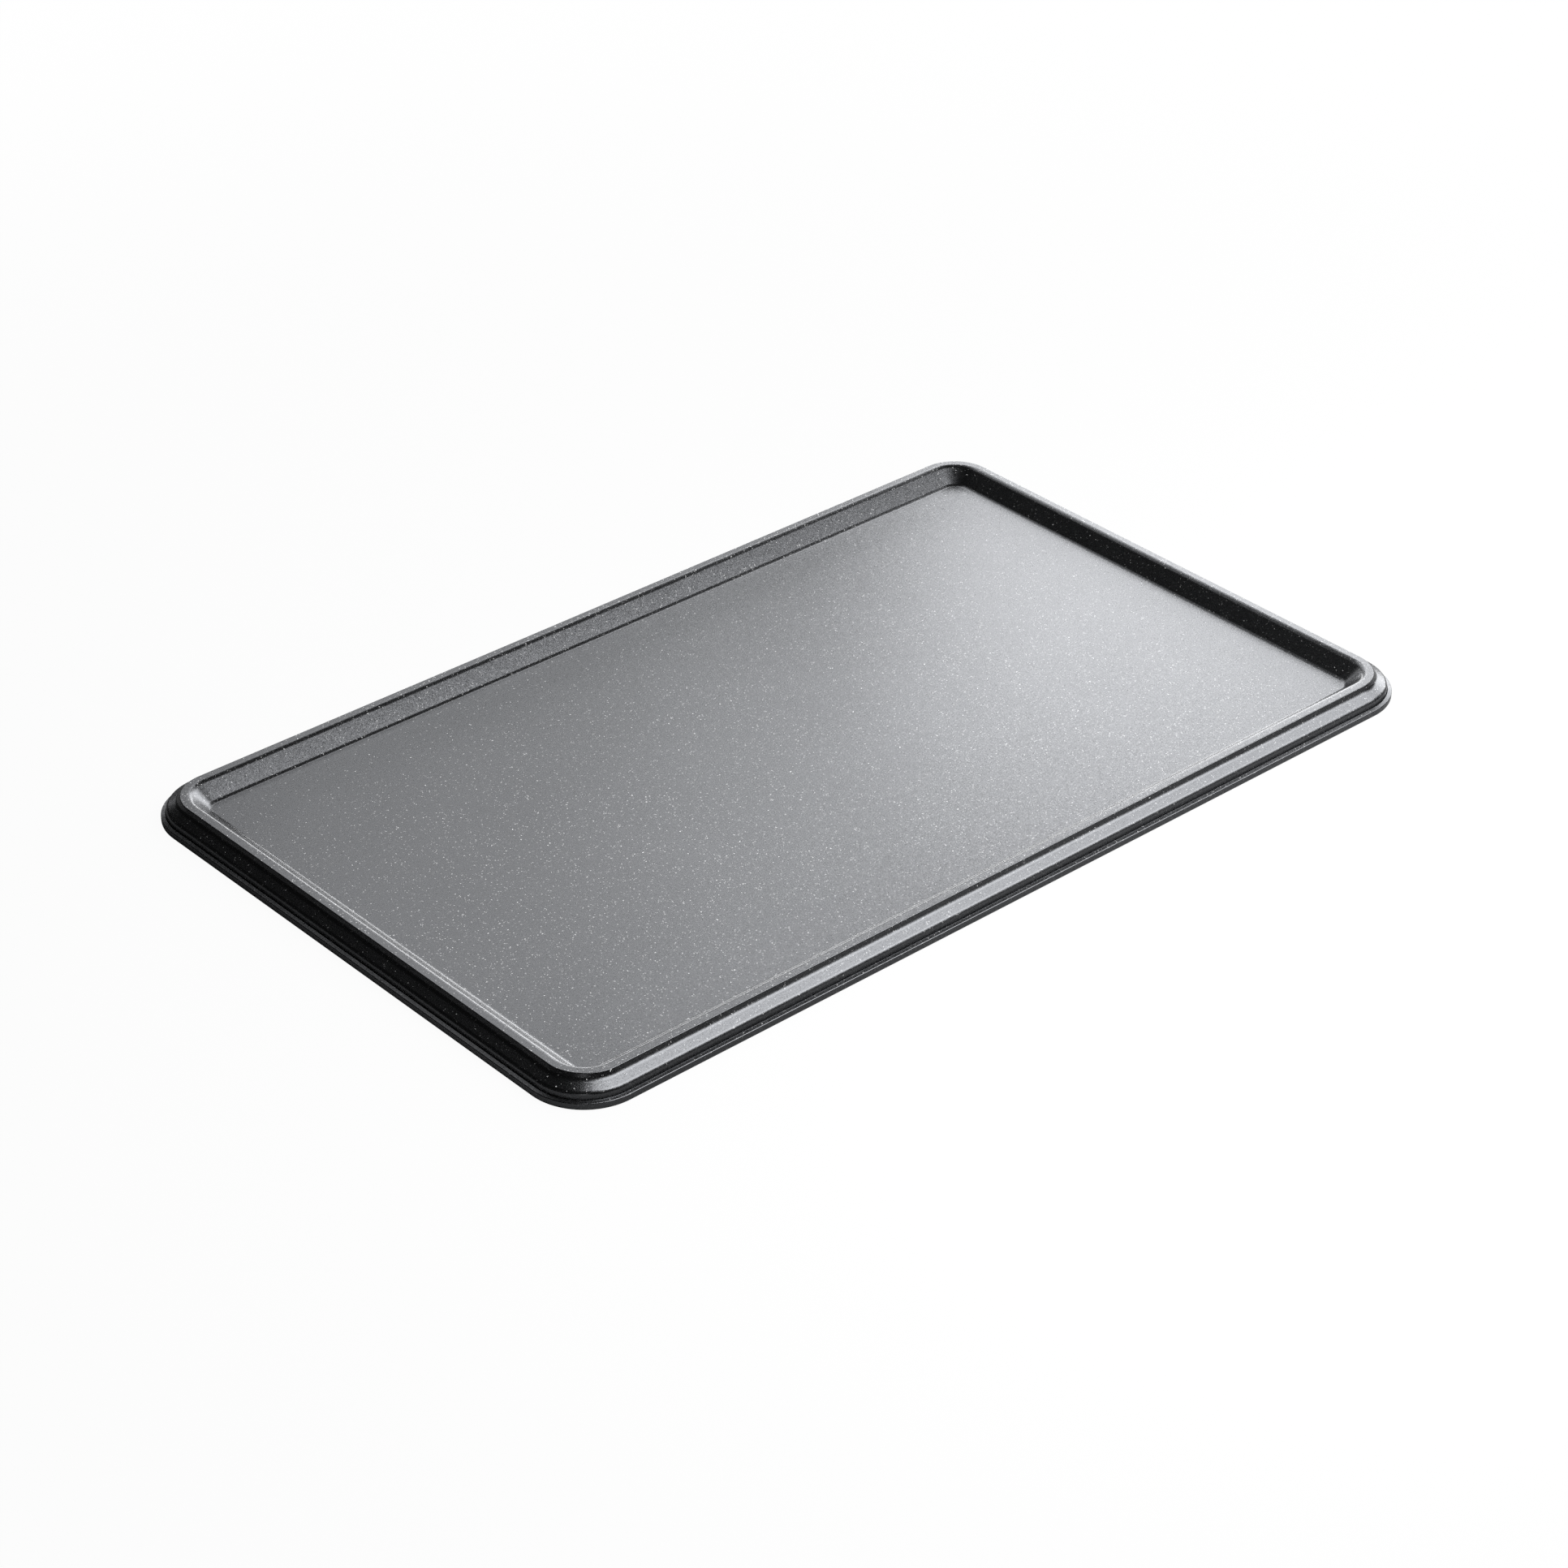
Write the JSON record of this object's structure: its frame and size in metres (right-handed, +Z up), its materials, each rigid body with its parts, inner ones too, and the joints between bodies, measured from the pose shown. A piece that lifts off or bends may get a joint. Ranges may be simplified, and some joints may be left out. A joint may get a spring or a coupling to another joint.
{
  "type": "cookie sheet",
  "caption": "Rectangular non-stick baking sheet with a shallow recess, a stepped pressed rim with rounded corners, and a flat base sheet under an air gap.",
  "frame": {"origin": "middle of the flat face that the sheet stands on", "axes": "+X along the long side, +Y along the short side, +Z up out of the recess"},
  "size_m": [0.454, 0.2794, 0.011],
  "materials": {
    "non_stick_coating": "satin",
    "coated_base": "satin"
  },
  "bodies": {
    "root": {"pan_sheet": "non_stick_coating", "base_sheet": "coated_base"}
  },
  "joints": []
}
